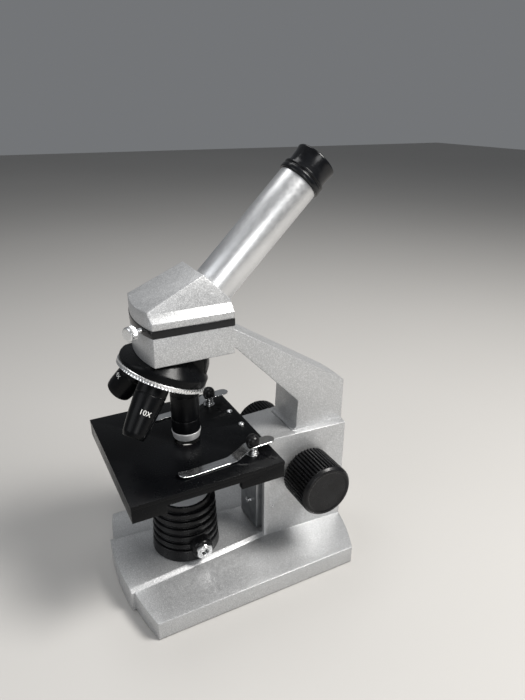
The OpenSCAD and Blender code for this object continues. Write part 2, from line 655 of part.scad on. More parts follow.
module clip_leaf_right() color("silver") clip_at(1, 4) clip_leaf();
module clip_knob_right() color([0.05, 0.05, 0.05]) clip_at(1, 4) clip_knob();
module clip_spring_right() color("silver") clip_at(1, 4) clip_spring();
module clip_leaf_left() color("silver") clip_at(-1, 5) clip_leaf();
module clip_knob_left() color([0.05, 0.05, 0.05]) clip_at(-1, 5) clip_knob();
module clip_spring_left() color("silver") clip_at(-1, 5) clip_spring();

// ---------- focus drive ----------

module focus_shaft() placed() color("silver") translate([-knob_x[1] + 4, shaft_y, shaft_z])
    rotate([0, 90, 0]) cylinder(r = shaft_r, h = 2 * knob_x[1] - 8);

module pinion() placed() color("goldenrod") translate([0, shaft_y, shaft_z]) rotate([0, 90, 0])
    difference() {
        union() {
            translate([0, 0, -5]) cylinder(r = 4.7, h = 10);
            for (i = [0 : teeth - 1]) rotate([0, 0, i * 360 / teeth])
                translate([0, 0, -5]) linear_extrude(10)
                    polygon([[4, -1.05], [6, -0.6], [6.8, -0.3], [6.8, 0.3], [6, 0.6],
                        [4, 1.05]]);
        }
        translate([0, 0, -6]) cylinder(r = shaft_r, h = 12);
    }

module focus_knob(s) placed() mirror([s < 0 ? 1 : 0, 0, 0])
    translate([knob_x[0], shaft_y, shaft_z]) rotate([0, 90, 0]) difference() {
        union() {
            cylinder(r = knob_r - 1.3, h = knob_l - 2.6);
            translate([0, 0, knob_l - 3.8]) cylinder(r = knob_r, h = 1.2);
            translate([0, 0, knob_l - 2.6]) cylinder(r1 = knob_r, r2 = knob_r - 2, h = 2.6);
            for (i = [0 : knob_ribs - 1]) rotate([0, 0, i * 360 / knob_ribs])
                translate([knob_r - 2, -0.6, 0.8]) cube([2, 1.2, knob_l - 4]);
        }
        translate([0, 0, -1]) cylinder(r = shaft_r, h = knob_l - 3);
        translate([0, 0, -1]) difference() {
            cylinder(r = knob_r - 4, h = 13);
            cylinder(r = 7, h = 20);
        }
        translate([0, 0, knob_l - 0.5]) cylinder(r = knob_r - 4.4, h = 2);
    }

module focus_knob_right() color([0.06, 0.06, 0.06]) focus_knob(1);
module focus_knob_left() color([0.06, 0.06, 0.06]) focus_knob(-1);

// ---------- pieces ----------

base_casting();
base_cover();
cover_screws();
rubber_feet();
arm_casting();
arm_bolts();
head_block();
head_band();
guide_plate();
guide_screws();
shaft_bushes();
pillar_set_screws();
lamp_housing();
lamp_screws();
lamp_window();
led_board();
power_jack();
power_jack_nut();
nosepiece_mount();
nosepiece_pivot();
detent_spring();
stage_plate();
stage_skirt();
stage_screws();
stage_carriage();
rack();
clip_posts();
clip_leaf_right();
clip_knob_right();
clip_spring_right();
clip_leaf_left();
clip_knob_left();
clip_spring_left();
focus_shaft();
pinion();
focus_knob_right();
focus_knob_left();
nosepiece_disc();
nosepiece_ring();
objective_4x();
objective_10x();
objective_40x();
objective_40x_collar();
lens_4x();
lens_10x();
objective_40x_nose();
nose_spring();
lens_40x();
head_shell();
head_spigot();
prism_cradle();
prism();
tube();
thumbscrew_pin();
thumbscrew_knob();
eyepiece_barrel();
eyecup();
eye_lens();
field_lens();
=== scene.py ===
import json
import math

import bmesh
import bpy
from mathutils import Matrix, Vector


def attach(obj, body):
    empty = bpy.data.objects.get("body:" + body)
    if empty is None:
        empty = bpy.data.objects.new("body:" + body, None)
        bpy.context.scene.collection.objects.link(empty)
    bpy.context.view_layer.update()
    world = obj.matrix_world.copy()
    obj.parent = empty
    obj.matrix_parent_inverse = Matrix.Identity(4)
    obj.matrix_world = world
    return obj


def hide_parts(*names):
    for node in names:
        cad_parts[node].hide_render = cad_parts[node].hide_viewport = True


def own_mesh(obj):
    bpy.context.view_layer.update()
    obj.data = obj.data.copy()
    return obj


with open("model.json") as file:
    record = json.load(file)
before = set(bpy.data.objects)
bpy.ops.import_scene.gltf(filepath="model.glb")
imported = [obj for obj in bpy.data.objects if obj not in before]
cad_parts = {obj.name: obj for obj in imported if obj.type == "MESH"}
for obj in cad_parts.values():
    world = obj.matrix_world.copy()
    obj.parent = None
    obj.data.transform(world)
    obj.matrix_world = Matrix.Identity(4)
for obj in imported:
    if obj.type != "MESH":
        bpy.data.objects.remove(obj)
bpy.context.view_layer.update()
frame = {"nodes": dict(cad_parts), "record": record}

nodes = frame["nodes"]
behaviour = frame["record"]["behaviour"]
body_of = {n: b for b, members in behaviour["bodies"].items() for n in members}
slot_of = {s["node"]: s["material_slot"] for s in frame["record"]["subparts"]}

# every length below is in mm unless it is named otherwise
MM = 0.001             # metres in a millimetre
MID_Y = 31.85          # the optical axis stands this far in front of the row frame's origin
APEX_Z = 198.3         # where the nosepiece's leaning axis meets the optical axis
TILT = math.radians(23.8)      # lean of the nosepiece's axis
TUBE_Z = 195.4         # where the tube's leaning axis meets the optical axis
FACE_Y = 23.35         # the tube leaves the head this far behind the optical axis
TUBE_END = 87.6        # upper end of the tube, along the tube from the head's face
DISC_TOP = -33.95      # top of the turning disc, along the nosepiece's axis
TIP_40 = -87.9         # front end of the 40x nose, along its objective's axis
COLLAR_TOP = TIP_40 + 7.8
SPRING_TOP = TIP_40 + 19.3     # fixed end of the spring behind the 40x nose
STAGE_TOP = 109.6
CLIP_X, CLIP_Y = 38.5, 33      # the slide clips' posts stand at plus and minus CLIP_X
LEAF_Z = 7.4           # middle of a clip's leaf at its post, above the stage
SHAFT_Y, SHAFT_Z = 84.3, 71.9  # axis of the focus shaft
KNOB_X = 26.6          # inner face of a focus knob
KNOB_RIBS = 46
RING_KNURLS = 90
THUMBSCREW_Z = 201.85


# ---------------------------------------------------------------- frames, in mm

def at(x, y, z):
    """Matrix that takes mm, measured from the optical axis, into the row frame."""
    return (Matrix.Translation((x * MM, (y - MID_Y) * MM, z * MM))
            @ Matrix.Diagonal((MM, MM, MM, 1)))


STAND = at(0, 0, 0)
TUBE = at(0, FACE_Y, TUBE_Z + FACE_Y) @ Matrix.Rotation(math.radians(-45), 4, "X")
NOSE = at(0, 0, APEX_Z) @ Matrix.Rotation(-TILT, 4, "X")
LAMP = at(-2.6, -3.9, 0)
INLET = (STAND @ Matrix.Translation((14, -1.4, 31.4))
         @ Matrix.Rotation(math.radians(90), 4, "Y"))
THUMBSCREW = (at(0, 0, THUMBSCREW_Z) @ Matrix.Rotation(math.radians(24), 4, "Z")
              @ Matrix.Rotation(math.radians(90), 4, "X"))


def objective(i):
    """Frame of an objective: 0 is the 40x in use, 1 the 4x, 2 the 10x."""
    return NOSE @ Matrix.Rotation(math.radians(120 * i), 4, "Z") @ Matrix.Rotation(TILT, 4, "X")


# ---------------------------------------------------------------- node materials

class Tree:
    """One material and its node tree. Sizes are in mm on the object."""

    def __init__(self, name):
        self.mat = bpy.data.materials.new(name)
        self.mat.use_nodes = True
        self.nt = self.mat.node_tree
        self.bsdf = self.nt.nodes["Principled BSDF"]
        self.coord = self.nt.nodes.new("ShaderNodeTexCoord").outputs["Object"]

    def new(self, kind, **inputs):
        n = self.nt.nodes.new(kind)
        for key, value in inputs.items():
            n.inputs[key.replace("_", " ")].default_value = value
        return n

    def link(self, a, b):
        self.nt.links.new(a, b)

    def scaled(self, sx, sy, sz):
        m = self.nt.nodes.new("ShaderNodeMapping")
        m.inputs["Scale"].default_value = (sx, sy, sz)
        self.link(self.coord, m.inputs["Vector"])
        return m.outputs["Vector"]

    def noise(self, size_mm, detail=3.0, rough=0.55, vector=None):
        n = self.new("ShaderNodeTexNoise", Scale=1000.0 / size_mm, Detail=detail, Roughness=rough)
        self.link(vector or self.coord, n.inputs["Vector"])
        return n.outputs["Fac"]

    def cells(self, size_mm, feature="F1", smooth=None):
        n = self.nt.nodes.new("ShaderNodeTexVoronoi")
        n.feature = feature
        n.inputs["Scale"].default_value = 1000.0 / size_mm
        if smooth is not None:
            n.inputs["Smoothness"].default_value = smooth
        self.link(self.coord, n.inputs["Vector"])
        return n.outputs["Distance"]

    def ramp(self, fac, lo, hi, a, b):
        """fac from lo..hi becomes a..b, clamped."""
        n = self.nt.nodes.new("ShaderNodeMapRange")
        n.inputs["From Min"].default_value = lo
        n.inputs["From Max"].default_value = hi
        n.inputs["To Min"].default_value = a
        n.inputs["To Max"].default_value = b
        self.link(fac, n.inputs["Value"])
        return n.outputs["Result"]

    def colours(self, fac, stops):
        """Colour ramp over fac; stops: list of (position, colour)."""
        n = self.nt.nodes.new("ShaderNodeValToRGB")
        el = n.color_ramp.elements
        while len(el) < len(stops):
            el.new(0.5)
        for e, (pos, col) in zip(el, stops):
            e.position = pos
            e.color = (*col, 1)
        self.link(fac, n.inputs["Fac"])
        return n.outputs["Color"]

    def mix(self, fac, a, b):
        n = self.nt.nodes.new("ShaderNodeMix")
        n.data_type = "RGBA"
        for key, value in ((0, fac), (6, a), (7, b)):
            if isinstance(value, (int, float)):
                n.inputs[key].default_value = value
            elif isinstance(value, tuple):
                n.inputs[key].default_value = (*value, 1)
            else:
                self.link(value, n.inputs[key])
        return n.outputs[2]

    def math(self, op, a, b):
        n = self.nt.nodes.new("ShaderNodeMath")
        n.operation = op
        for i, value in enumerate((a, b)):
            if isinstance(value, (int, float)):
                n.inputs[i].default_value = value
            else:
                self.link(value, n.inputs[i])
        return n.outputs[0]

    def bumps(self, heights, edge_mm):
        """heights: list of (height socket, depth in mm); edges look rounded by edge_mm."""
        normal = None
        if edge_mm:
            b = self.nt.nodes.new("ShaderNodeBevel")
            b.samples = 4
            b.inputs["Radius"].default_value = edge_mm * MM
            normal = b.outputs["Normal"]
        for h, depth in heights:
            n = self.nt.nodes.new("ShaderNodeBump")
            n.inputs["Strength"].default_value = 1.0
            n.inputs["Distance"].default_value = depth * MM
            self.link(h, n.inputs["Height"])
            if normal:
                self.link(normal, n.inputs["Normal"])
            normal = n.outputs["Normal"]
        self.link(normal, self.bsdf.inputs["Normal"])

    def set(self, **values):
        """Sets or links inputs of the surface shader and hands back the material."""
        for key, value in values.items():
            sock = self.bsdf.inputs[key.replace("_", " ")]
            if hasattr(value, "is_linked"):
                self.link(value, sock)
            elif isinstance(value, tuple):
                sock.default_value = (*value, 1)
            else:
                sock.default_value = value
        return self.mat


def hammered_silver():
    t = Tree("hammered_silver")
    flake = t.cells(0.5)
    pebble = t.cells(1.3, "SMOOTH_F1", 0.6)
    cloud = t.noise(20, 4)
    tone = t.math("ADD", t.math("MULTIPLY", flake, 0.8), t.math("MULTIPLY", cloud, 0.14))
    base = t.colours(tone, [(0.15, (0.31, 0.314, 0.318)), (0.42, (0.43, 0.435, 0.44)),
                            (0.7, (0.60, 0.605, 0.61))])
    t.bumps([(pebble, 0.055), (t.noise(0.5, 2), 0.03)], 0.9)
    return t.set(Base_Color=base, Metallic=0.6,
                 Roughness=t.ramp(t.noise(3, 3), 0.3, 0.7, 0.36, 0.5), Specular_IOR_Level=0.5)


def satin_tube():
    t = Tree("satin_tube")
    grain = t.noise(0.25, 2, 0.6)
    cloud = t.noise(30, 3)
    base = t.colours(cloud, [(0.3, (0.66, 0.665, 0.67)), (0.7, (0.74, 0.745, 0.75))])
    t.bumps([(grain, 0.012)], 0.3)
    return t.set(Base_Color=base, Metallic=0.9,
                 Roughness=t.ramp(t.noise(2.5, 4), 0.3, 0.7, 0.3, 0.4))


def black_enamel():
    t = Tree("black_enamel")
    dust = t.cells(2.6)
    specks = t.ramp(dust, 0.03, 0.06, 1.0, 0.0)
    smear = t.noise(18, 5, 0.6)
    base = t.mix(t.math("MULTIPLY", specks, 0.16), (0.002, 0.0022, 0.0027), (0.1, 0.1, 0.1))
    t.bumps([(t.noise(0.8, 2), 0.008)], 0.35)
    return t.set(Base_Color=base, Roughness=t.ramp(smear, 0.3, 0.75, 0.2, 0.38),
                 Specular_IOR_Level=0.12)


def black_gloss():
    t = Tree("black_gloss")
    smear = t.noise(9, 4, 0.6)
    base = t.colours(smear, [(0.3, (0.002, 0.0022, 0.0028)), (0.8, (0.006, 0.0065, 0.008))])
    t.bumps([(t.noise(1.4, 2), 0.008)], 0.3)
    return t.set(Base_Color=base, Roughness=t.ramp(smear, 0.3, 0.75, 0.14, 0.28),
                 Specular_IOR_Level=0.34)


def black_moulded():
    t = Tree("black_moulded")
    grain = t.noise(0.35, 3, 0.6)
    cloud = t.noise(12, 4)
    base = t.colours(cloud, [(0.3, (0.003, 0.003, 0.0034)), (0.75, (0.009, 0.009, 0.01))])
    t.bumps([(grain, 0.01)], 0.25)
    return t.set(Base_Color=base, Roughness=t.ramp(t.noise(5, 3), 0.3, 0.7, 0.22, 0.36),
                 Specular_IOR_Level=0.22)


def matt_black_steel():
    t = Tree("matt_black_steel")
    base = t.colours(t.noise(6, 4), [(0.3, (0.02, 0.02, 0.02)), (0.8, (0.05, 0.05, 0.05))])
    t.bumps([(t.noise(0.6, 3), 0.03)], 0.2)
    return t.set(Base_Color=base, Roughness=t.ramp(t.noise(4, 3), 0.3, 0.7, 0.5, 0.7))


def black_rubber():
    t = Tree("black_rubber")
    base = t.colours(t.noise(5, 4), [(0.3, (0.014, 0.014, 0.014)), (0.8, (0.045, 0.043, 0.04))])
    t.bumps([(t.noise(0.4, 3), 0.04)], 0.3)
    return t.set(Base_Color=base, Roughness=t.ramp(t.noise(3, 3), 0.3, 0.7, 0.7, 0.9))


def satin_silver():
    t = Tree("satin_silver")
    turned = t.noise(0.5, 3, 0.6, t.scaled(0.2, 0.2, 1))
    base = t.colours(t.noise(5, 3), [(0.3, (0.72, 0.725, 0.73)), (0.7, (0.84, 0.845, 0.85))])
    t.bumps([(turned, 0.003)], 0.2)
    return t.set(Base_Color=base, Metallic=0.65, Roughness=t.ramp(turned, 0.3, 0.7, 0.3, 0.42))


def rosy_steel():
    t = Tree("rosy_steel")
    turned = t.noise(0.4, 3, 0.6, t.scaled(0.2, 0.2, 1))
    base = t.colours(t.noise(5, 3), [(0.3, (0.42, 0.31, 0.31)), (0.7, (0.56, 0.42, 0.42))])
    t.bumps([(turned, 0.003)], 0.2)
    return t.set(Base_Color=base, Metallic=0.4, Roughness=t.ramp(turned, 0.3, 0.7, 0.28, 0.4))


def chromed():
    t = Tree("chromed")
    wipe = t.noise(6, 4, 0.6)
    base = t.colours(wipe, [(0.3, (0.80, 0.805, 0.81)), (0.7, (0.9, 0.905, 0.91))])
    t.bumps([(t.noise(0.5, 2), 0.002)], 0.15)
    return t.set(Base_Color=base, Metallic=1.0, Roughness=t.ramp(wipe, 0.3, 0.75, 0.2, 0.34))


def bright_steel():
    t = Tree("bright_steel")
    scratch = t.noise(0.35, 3, 0.6, t.scaled(1, 0.12, 1))
    base = t.colours(t.noise(8, 3), [(0.3, (0.64, 0.645, 0.65)), (0.7, (0.8, 0.805, 0.81))])
    t.bumps([(scratch, 0.002)], 0.15)
    return t.set(Base_Color=base, Metallic=1.0, Roughness=t.ramp(scratch, 0.3, 0.7, 0.14, 0.26))


def grey_steel():
    t = Tree("grey_steel")
    scratch = t.noise(0.5, 3, 0.6, t.scaled(1, 1, 0.08))
    base = t.colours(t.noise(9, 4), [(0.3, (0.2, 0.21, 0.22)), (0.75, (0.34, 0.35, 0.36))])
    t.bumps([(scratch, 0.012)], 0.2)
    return t.set(Base_Color=base, Metallic=0.95, Roughness=t.ramp(scratch, 0.3, 0.7, 0.3, 0.45))


def bronze():
    t = Tree("bronze")
    turned = t.noise(0.4, 3, 0.6, t.scaled(0.2, 1, 1))
    base = t.colours(t.noise(3, 3), [(0.3, (0.42, 0.26, 0.1)), (0.7, (0.6, 0.4, 0.18))])
    t.bumps([(turned, 0.02)], 0.15)
    return t.set(Base_Color=base, Metallic=1.0, Roughness=t.ramp(turned, 0.3, 0.7, 0.25, 0.4))


def board_green():
    t = Tree("board_green")
    track = t.cells(2.4, "DISTANCE_TO_EDGE")
    base = t.mix(t.ramp(track, 0.04, 0.07, 1.0, 0.0), (0.02, 0.14, 0.05), (0.05, 0.26, 0.1))
    t.bumps([(track, 0.04)], 0.1)
    return t.set(Base_Color=base, Roughness=t.ramp(t.noise(2, 3), 0.3, 0.7, 0.3, 0.45))


def frosted():
    t = Tree("frosted_window")
    grain = t.noise(0.3, 3)
    base = t.colours(grain, [(0.3, (0.72, 0.74, 0.76)), (0.7, (0.86, 0.87, 0.88))])
    t.bumps([(grain, 0.03)], 0.2)
    return t.set(Base_Color=base, Roughness=t.ramp(grain, 0.3, 0.7, 0.45, 0.6),
                 Transmission_Weight=0.25)


def clear_glass():
    t = Tree("clear_glass")
    wipe = t.noise(3, 4)
    base = t.colours(wipe, [(0.3, (0.8, 0.86, 0.9)), (0.7, (0.92, 0.95, 0.97))])
    t.bumps([(wipe, 0.002)], 0.1)
    return t.set(Base_Color=base, Roughness=t.ramp(wipe, 0.3, 0.7, 0.02, 0.06),
                 Transmission_Weight=0.9, IOR=1.5)


def coated_glass():
    t = Tree("coated_glass")
    wipe = t.noise(2, 4)
    base = t.colours(wipe, [(0.3, (0.30, 0.07, 0.12)), (0.7, (0.5, 0.16, 0.2))])
    t.bumps([(wipe, 0.002)], 0.1)
    return t.set(Base_Color=base, Roughness=t.ramp(wipe, 0.3, 0.7, 0.04, 0.12), Metallic=0.35,
                 Coat_Weight=0.6)


def white_mark():
    t = Tree("white_mark")
    base = t.colours(t.noise(0.6, 3), [(0.3, (0.62, 0.62, 0.6)), (0.7, (0.82, 0.82, 0.8))])
    t.bumps([(t.noise(0.3, 2), 0.01)], 0)
    return t.set(Base_Color=base, Roughness=t.ramp(t.noise(1, 3), 0.3, 0.7, 0.45, 0.6))


def pale_floor():
    t = Tree("pale_floor")
    cloud = t.noise(260, 4)
    base = t.colours(cloud, [(0.3, (0.41, 0.40, 0.385)), (0.7, (0.455, 0.445, 0.43))])
    t.bumps([(t.noise(1.2, 3), 0.03)], 0)
    return t.set(Base_Color=base, Roughness=t.ramp(cloud, 0.3, 0.7, 0.7, 0.8))


MATS = {
    "silver_hammer_paint": hammered_silver(),
    "satin_tube": satin_tube(),
    "black_enamel": black_enamel(),
    "black_gloss": black_gloss(),
    "black_matte": black_moulded(),
    "black_steel": matt_black_steel(),
    "black_rubber": black_rubber(),
    "chromed": chromed(),
    "bright_steel": bright_steel(),
    "grey_steel": grey_steel(),
    "bronze": bronze(),
    "board": board_green(),
    "frosted_glass": frosted(),
    "clear_glass": clear_glass(),
    "coated_glass": coated_glass(),
}

for name, ob in nodes.items():
    for s in ob.material_slots:
        s.material = MATS[slot_of[name]]


# ---------------------------------------------------------------- mesh helpers

def in_scene(name, data):
    ob = bpy.data.objects.new(name, data)
    bpy.context.scene.collection.objects.link(ob)
    return ob


def finish_mesh(ob, sharp_deg=35):
    """Smooth shading, but for edges sharper than sharp_deg."""
    ob.data.polygons.foreach_set("use_smooth", [True] * len(ob.data.polygons))
    ob.data.set_sharp_from_angle(angle=math.radians(sharp_deg))
    ob.data.update()


def piece(name, bm, stands_for, mat=None, sharp_deg=35):
    """A finished mesh object that rides on the body of the CAD node it stands for."""
    me = bpy.data.meshes.new(name)
    bmesh.ops.recalc_face_normals(bm, faces=bm.faces)
    bm.to_mesh(me)
    bm.free()
    ob = in_scene(name, me)
    node = stands_for[0]
    me.materials.append(mat or MATS[slot_of[node]])
    finish_mesh(ob, sharp_deg)
    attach(ob, body_of[node])
    return ob


def baked(ob):
    """The same object with its modifiers turned into mesh."""
    dg = bpy.context.evaluated_depsgraph_get()
    me = bpy.data.meshes.new_from_object(ob.evaluated_get(dg))
    ob.modifiers.clear()
    old = ob.data
    ob.data = me
    bpy.data.meshes.remove(old)
    return ob


def softened(node, width):
    """A finer copy of a CAD node with its hard edges rounded over by width."""
    me = nodes[node].data.copy()
    bm = bmesh.new()
    bm.from_mesh(me)
    bmesh.ops.remove_doubles(bm, verts=bm.verts, dist=2e-6)
    bmesh.ops.dissolve_limit(bm, angle_limit=math.radians(0.6), verts=bm.verts, edges=bm.edges)
    bm.to_mesh(me)
    bm.free()
    ob = in_scene(node + "_fine", me)
    me.materials.clear()
    me.materials.append(MATS[slot_of[node]])
    bevel = ob.modifiers.new("edge", "BEVEL")
    bevel.width = width * MM
    bevel.segments = 3
    bevel.limit_method = "ANGLE"
    bevel.angle_limit = math.radians(30)
    bevel.use_clamp_overlap = True
    bevel.miter_outer = "MITER_ARC"
    baked(ob)
    finish_mesh(ob, 40)
    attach(ob, body_of[node])
    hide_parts(node)


def rounded(points, steps=4):
    """Profile points (r, z[, corner radius]) with their corners turned into arcs."""
    out = []
    n = len(points)
    for i, p in enumerate(points):
        rad = p[2] if len(p) > 2 else 0
        if not rad or i in (0, n - 1):
            out.append((p[0], p[1]))
            continue
        c = Vector(p[:2])
        a = Vector(points[i - 1][:2]) - c
        b = Vector(points[i + 1][:2]) - c
        cut = min(rad, a.length * 0.48, b.length * 0.48)
        pa, pb = c + a.normalized() * cut, c + b.normalized() * cut
        for k in range(steps + 1):
            t = k / steps
            q = pa * (1 - t) ** 2 + c * 2 * t * (1 - t) + pb * t ** 2
            out.append((q.x, q.y))
    return out


def lathe(name, profile, frame_m, stands_for, segs, mod=None, mat=None, sharp_deg=35):
    """Turned piece: profile of (r, z[, corner radius]) about the frame's Z axis.
    mod(angle, r, z) may change the radius, for ribs and knurls."""
    pts = rounded(profile)
    bm = bmesh.new()
    rings = []
    for r, z in pts:
        if r < 1e-6:
            rings.append([bm.verts.new(frame_m @ Vector((0, 0, z)))])
            continue
        ring = []
        for k in range(segs):
            a = 2 * math.pi * k / segs
            rr = mod(a, r, z) if mod else r
            ring.append(bm.verts.new(frame_m @ Vector((rr * math.cos(a), rr * math.sin(a), z))))
        rings.append(ring)
    closed = pts[0] == pts[-1]
    if closed:
        for v in rings[-1]:
            bm.verts.remove(v)
        rings[-1] = rings[0]
    for a, b in zip(rings, rings[1:]):
        for k in range(segs):
            k2 = (k + 1) % segs
            if len(a) == 1 and len(b) == 1:
                break
            if len(a) == 1:
                bm.faces.new((a[0], b[k], b[k2]))
            elif len(b) == 1:
                bm.faces.new((a[k], b[0], a[k2]))
            else:
                bm.faces.new((a[k], b[k], b[k2], a[k2]))
    ob = piece(name, bm, stands_for, mat, sharp_deg)
    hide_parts(*stands_for)
    return ob


def wire(name, points, radius, frame_m, stands_for):
    """Round wire along the points."""
    sides = 10
    bm = bmesh.new()
    pts = [Vector(p) for p in points]
    rings = []
    up = Vector((0.13, 0.21, 1)).normalized()
    for i, p in enumerate(pts):
        d = (pts[min(i + 1, len(pts) - 1)] - pts[max(i - 1, 0)]).normalized()
        u = d.cross(up)
        if u.length < 1e-3:
            u = d.cross(Vector((1, 0, 0)))
        u.normalize()
        v = d.cross(u).normalized()
        rings.append([bm.verts.new(frame_m @ (p + radius * (math.cos(a) * u + math.sin(a) * v)))
                      for a in [2 * math.pi * k / sides for k in range(sides)]])
    for a, b in zip(rings, rings[1:]):
        for k in range(sides):
            bm.faces.new((a[k], b[k], b[(k + 1) % sides], a[(k + 1) % sides]))
    bm.faces.new(rings[0])
    bm.faces.new(list(reversed(rings[-1])))
    ob = piece(name, bm, stands_for, None, 60)
    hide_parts(*stands_for)
    return ob


def coil(name, radius, wire_r, z0, z1, turns, frame_m, stands_for):
    """Spring from z0 to z1 with closed ends: its first and last turns lie flat."""
    pts = []
    n = int(turns * 28)
    flat = 0.8
    for k in range(n + 1):
        t = turns * k / n
        s = min(max((t - flat) / (turns - 2 * flat), 0), 1)
        pts.append((radius * math.cos(2 * math.pi * t), radius * math.sin(2 * math.pi * t),
                    z0 + wire_r + (z1 - z0 - 2 * wire_r) * s))
    return wire(name, pts, wire_r, frame_m, stands_for)


# ---------------------------------------------------------------- castings and plates

for node, width in (("base_casting", 1.3), ("arm_casting", 1.6), ("head_block", 1.0),
                    ("head_shell", 1.3), ("head_band", 1.2), ("stage_plate", 0.5),
                    ("stage_skirt", 0.5), ("guide_plate", 0.4), ("stage_carriage", 0.6),
                    ("rubber_feet", 0.4), ("nosepiece_mount", 0.7), ("nosepiece_disc", 0.35),
                    ("power_jack_nut", 0.3), ("power_jack", 0.3), ("stage_screws", 0.12),
                    ("guide_screws", 0.2)):
    softened(node, width)


# ---------------------------------------------------------------- tube and eyepiece

lathe("tube_fine",
      [(12.4, -5.9), (14, -5.9, 0.2), (14, TUBE_END, 0.5), (11.65, TUBE_END, 0.2),
       (11.65, 40.2), (12.4, 39.6), (12.4, -5.9)], TUBE, ["tube"], 128)
lathe("eyepiece_barrel_fine",
      [(10.2, 60), (11.6, 60, 0.3), (11.6, TUBE_END + 0.1), (15.0, TUBE_END + 0.1, 0.3),
       (15.5, TUBE_END + 0.7, 0.3), (15.5, TUBE_END + 3.2, 0.5),
       (14.6, TUBE_END + 3.9, 0.2), (14.6, TUBE_END + 4.5, 0.2),
       (15.3, TUBE_END + 5.0, 0.3), (15.2, TUBE_END + 6.2, 0.2),
       (10.2, TUBE_END + 6.2), (10.2, 60)], TUBE, ["eyepiece_barrel"], 128)
lathe("eyecup_fine",
      [(10.2, TUBE_END + 6.2), (14.0, TUBE_END + 6.2), (13.8, TUBE_END + 9, 1),
       (14.0, TUBE_END + 14, 2), (14.7, TUBE_END + 18.4, 0.8),
       (14.0, TUBE_END + 19.2, 0.6), (12.6, TUBE_END + 18.8, 0.8),
       (10.8, TUBE_END + 15.4, 0.6), (10.2, TUBE_END + 15.2), (10.2, TUBE_END + 6.2)],
      TUBE, ["eyecup"], 128)


# ---------------------------------------------------------------- nosepiece

def knurl(count, depth, r_min, z0, z1):
    """For lathe: count waves of this depth outside r_min between z0 and z1."""
    def mod(a, r, z):
        if r < r_min or not z0 <= z <= z1:
            return r
        return r - depth * (0.5 - 0.5 * math.cos(count * a))
    return mod


lathe("nosepiece_ring_fine",
      [(28.7, -38.3), (29.7, -38.3), (30.3, -37.8), (30.3, -37.6), (30.3, -35.4),
       (30.3, -35.2), (29.7, -34.7), (28.7, -34.7), (28.7, -38.3)],
      NOSE, ["nosepiece_ring"], 720, knurl(RING_KNURLS, 0.2, 29.8, -37.7, -35.3),
      sharp_deg=50)


def trim(ob):
    """Cuts an objective's thread flush with the top of the turning disc."""
    bm = bmesh.new()
    bm.from_mesh(ob.data)
    made = bmesh.ops.bisect_plane(
        bm, geom=bm.verts[:] + bm.edges[:] + bm.faces[:], clear_outer=True,
        plane_co=NOSE @ Vector((0, 0, DISC_TOP)),
        plane_no=(NOSE.to_3x3() @ Vector((0, 0, 1))).normalized())
    rim = [e for e in made["geom_cut"] if isinstance(e, bmesh.types.BMEdge)]
    bmesh.ops.triangle_fill(bm, edges=rim, use_beauty=True)
    bmesh.ops.recalc_face_normals(bm, faces=bm.faces)
    bm.to_mesh(ob.data)
    bm.free()
    finish_mesh(ob)


OBJECTIVES = {
    "objective_4x": (1, [
        (5, -36.4), (8.6, -36.4), (8.6, -42, 0.1), (10, -42, 0.3), (10, -51.4, 0.3),
        (9.7, -51.8), (9.7, -52.1), (10, -52.5, 0.3), (9.6, -66.4, 0.6), (9.1, -70, 0.6),
        (6.4, -70, 0.3), (6.0, -69.2, 0.3), (5, -68.6), (5, -36.4)]),
    "objective_10x": (2, [
        (3.6, -36.4), (8.6, -36.4), (8.6, -42, 0.1), (10, -42, 0.3), (10, -51.4, 0.3),
        (9.7, -51.8), (9.7, -52.1), (10, -52.5, 0.3), (9.2, -64, 1.0), (7.8, -76.8, 0.6),
        (6.6, -79.8, 0.6), (4.6, -79.8, 0.3), (4.2, -79.1, 0.2), (3.6, -78.8),
        (3.6, -36.4)]),
    "objective_40x": (0, [
        (7.65, -68), (7.65, COLLAR_TOP), (10, COLLAR_TOP, 0.3), (10, -71, 0.3),
        (9.75, -70.7), (9.75, -70.4), (10, -70.1, 0.3), (10, -52.4, 0.3), (9.7, -52.1),
        (9.7, -51.6), (10, -51.3, 0.3), (10, -42, 0.3), (8.6, -42), (8.6, -36.4),
        (6, -36.4), (6, -68), (7.65, -68)]),
}
for node, (i, profile) in OBJECTIVES.items():
    trim(lathe(node + "_fine", profile, objective(i), [node], 96))
lathe("objective_40x_collar_fine",
      [(7.65, COLLAR_TOP), (10.2, COLLAR_TOP, 0.2), (10.2, TIP_40 + 6.6, 0.5),
       (9.3, TIP_40 + 2.3, 0.4), (8.8, TIP_40 + 1.8, 0.3), (6.94, TIP_40 + 1.8, 0.1),
       (6.94, TIP_40 + 3.4), (7.65, TIP_40 + 3.4), (7.65, COLLAR_TOP)],
      objective(0), ["objective_40x_collar"], 96, mat=satin_silver())
lathe("objective_40x_nose_fine",
      [(2.4, TIP_40 + 12), (7.6, TIP_40 + 12), (7.6, TIP_40 + 3.5), (6.9, TIP_40 + 3.5),
       (6.9, TIP_40 + 0.7, 0.4), (6.1, TIP_40, 0.4), (2.6, TIP_40, 0.2),
       (2.4, TIP_40 + 0.4), (2.4, TIP_40 + 12)], objective(0), ["objective_40x_nose"], 96,
      mat=rosy_steel())
spring = coil("nose_spring_fine", 6.8, 0.36, TIP_40 + 12.1, SPRING_TOP, 6, objective(0),
              ["nose_spring"])
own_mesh(spring)

# front lenses, domed
for i, r, z, node in ((1, 5, -69.1, "lens_4x"), (2, 3.6, -79.3, "lens_10x"),
                      (0, 2.4, TIP_40 + 0.1, "lens_40x")):
    lathe(node + "_fine", [(0, z), (r * 0.5, z + 0.12, 0.4), (r * 0.85, z + 0.4, 0.3),
                           (r, z + 0.7, 0.1), (r, z + 1.4), (0, z + 1.4)],
          objective(i), [node], 64)


